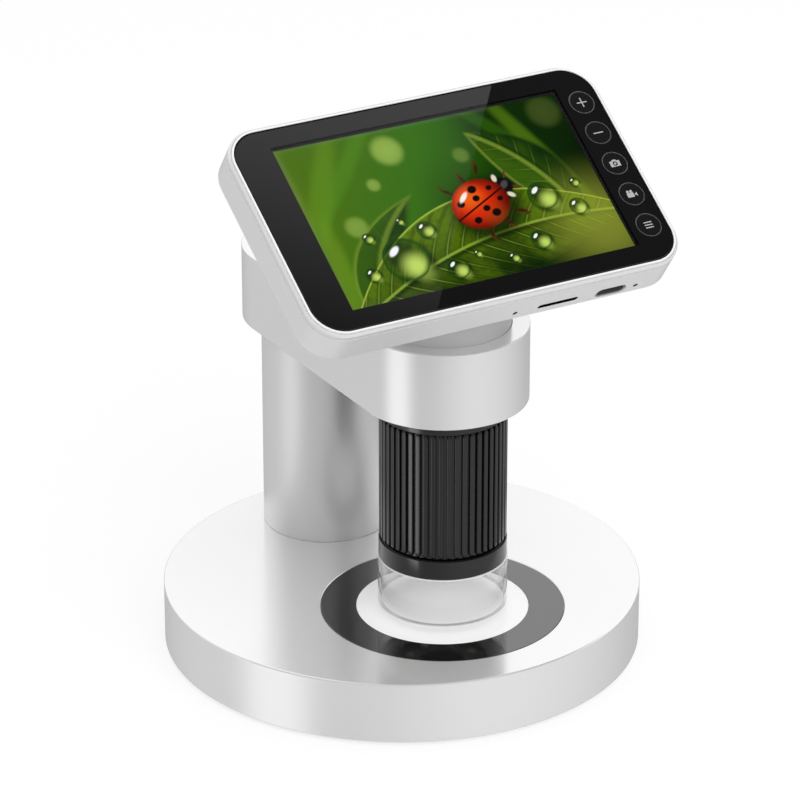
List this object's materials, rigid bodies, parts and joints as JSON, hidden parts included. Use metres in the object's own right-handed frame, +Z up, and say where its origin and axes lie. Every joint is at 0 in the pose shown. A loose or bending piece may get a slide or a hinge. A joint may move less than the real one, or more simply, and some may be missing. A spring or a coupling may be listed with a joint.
{
  "type": "lcd digital microscope",
  "caption": "Digital microscope with a tilted colour screen on a ribbed barrel that stands in the arm of a round-based stand",
  "frame": {"origin": "on the table, at the centre of the round base", "axes": "+Z up; +X to the right along the screen's long side; +Y from the user to the back, from the barrel towards the column"},
  "size_m": [0.134, 0.134, 0.1618],
  "materials": {
    "base_paint": "glossy silver-white paint",
    "arm_paint": "satin silver-white paint",
    "column_paint": "satin silver paint with fine fleck",
    "dark_plastic": "moulded black",
    "steel": "zinc plated",
    "rubber": "matt",
    "stage_black": "polished black",
    "stage_white": "polished white",
    "neck_plastic": "satin light grey",
    "circuit_board": "solder mask",
    "sensor_glass": "coated",
    "flex_cable": "polyimide film",
    "ring_black": "satin black",
    "led_lens": "clear epoxy over phosphor",
    "grip_black": "satin black, ribbed",
    "lens_glass": "coated",
    "clear_plastic": "clear moulded",
    "casing_plastic": "satin silver-white",
    "frame_plastic": "satin white",
    "cover_glass": "polished, tinted",
    "mask_print": "black print",
    "display": "lit picture",
    "backlight_white": "diffuser stack",
    "battery_foil": "foil pouch",
    "connector_steel": "plated shell",
    "grey_plastic": "moulded",
    "key_black": "glossy black with a grey outline"
  },
  "bodies": {
    "stand": {"base_top_shell": "base_paint", "base_bottom_cover": "dark_plastic", "base_weight": "steel", "base_feet": "rubber", "base_screws": "steel", "stage_ring": "stage_black", "stage_disc": "stage_white", "column_tube": "column_paint", "column_foot_plug": "dark_plastic", "column_head_plug": "dark_plastic", "column_tie_rod": "steel", "column_washer": "steel", "column_nut": "steel", "arm_shell": "arm_paint", "arm_underside_plate": "arm_paint", "arm_screws": "steel"},
    "swivel_bush": {"swivel_bush": "dark_plastic"},
    "viewer": {"neck_housing": "neck_plastic", "barrel_core": "dark_plastic", "core_retaining_ring": "dark_plastic", "sensor_board": "circuit_board", "image_sensor": "sensor_glass", "sensor_cable": "flex_cable", "end_ring": "ring_black", "led_board": "circuit_board", "leds": "led_lens", "rear_casing": "casing_plastic", "front_frame": "frame_plastic", "cover_glass": "cover_glass", "glass_mask": "mask_print", "lcd_panel": "display", "backlight": "backlight_white", "lcd_tray": "steel", "main_board": "circuit_board", "battery": "battery_foil", "usb_c_receptacle": "connector_steel", "card_socket": "connector_steel", "microphone": "connector_steel", "reset_switch": "dark_plastic", "key_board": "circuit_board", "key_switches": "dark_plastic", "casing_screws": "steel", "neck_screws": "steel", "board_screws": "steel"},
    "focus_ring": {"focus_ring": "grip_black"},
    "lens_carriage": {"lens_cell": "dark_plastic", "front_lens": "lens_glass", "rear_lens": "lens_glass", "lens_drive_pin": "steel"},
    "clear_cap": {"clear_cap": "clear_plastic"},
    "reset_plunger": {"reset_plunger": "grey_plastic"},
    "key_zoom_in": {"key_zoom_in": "key_black"},
    "key_zoom_out": {"key_zoom_out": "key_black"},
    "key_photo": {"key_photo": "key_black"},
    "key_video": {"key_video": "key_black"},
    "key_menu": {"key_menu": "key_black"}
  },
  "joints": [
    {"name": "viewer_turn", "type": "hinge", "parent": "stand", "child": "swivel_bush", "pos_m": [0, -0.0224, 0], "axis": [0, 0, 1], "continuous": true},
    {"name": "viewer_lift", "type": "slide", "parent": "swivel_bush", "child": "viewer", "axis": [0, 0, 1], "range_m": [0, 0.09]},
    {"name": "focus_turn", "type": "hinge", "parent": "viewer", "child": "focus_ring", "pos_m": [0, -0.0224, 0], "axis": [0, 0, 1], "range_deg": [-150, 150]},
    {"name": "lens_slide", "type": "slide", "parent": "viewer", "child": "lens_carriage", "axis": [0, 0, 1], "range_m": [-0.006, 0.006]},
    {"name": "cap_pull", "type": "slide", "parent": "viewer", "child": "clear_cap", "axis": [0, 0, -1], "range_m": [0, 0.002]},
    {"name": "press_zoom_in", "type": "slide", "parent": "viewer", "child": "key_zoom_in", "axis": [0, 0.5736, -0.8192], "range_m": [0, 0.00035], "stiffness_N_per_m": 1200, "springref_m": -0.00005},
    {"name": "press_zoom_out", "type": "slide", "parent": "viewer", "child": "key_zoom_out", "axis": [0, 0.5736, -0.8192], "range_m": [0, 0.00035], "stiffness_N_per_m": 1200, "springref_m": -0.00005},
    {"name": "press_photo", "type": "slide", "parent": "viewer", "child": "key_photo", "axis": [0, 0.5736, -0.8192], "range_m": [0, 0.00035], "stiffness_N_per_m": 1200, "springref_m": -0.00005},
    {"name": "press_video", "type": "slide", "parent": "viewer", "child": "key_video", "axis": [0, 0.5736, -0.8192], "range_m": [0, 0.00035], "stiffness_N_per_m": 1200, "springref_m": -0.00005},
    {"name": "press_menu", "type": "slide", "parent": "viewer", "child": "key_menu", "axis": [0, 0.5736, -0.8192], "range_m": [0, 0.00035], "stiffness_N_per_m": 1200, "springref_m": -0.00005},
    {"name": "press_reset", "type": "slide", "parent": "viewer", "child": "reset_plunger", "axis": [0, 0.8192, 0.5736], "range_m": [0, 0.00025], "stiffness_N_per_m": 600, "springref_m": -0.00005}
  ],
  "couplings": [
    {"joint": "focus_turn", "follows": "lens_slide", "rad_per_m": 436}
  ]
}
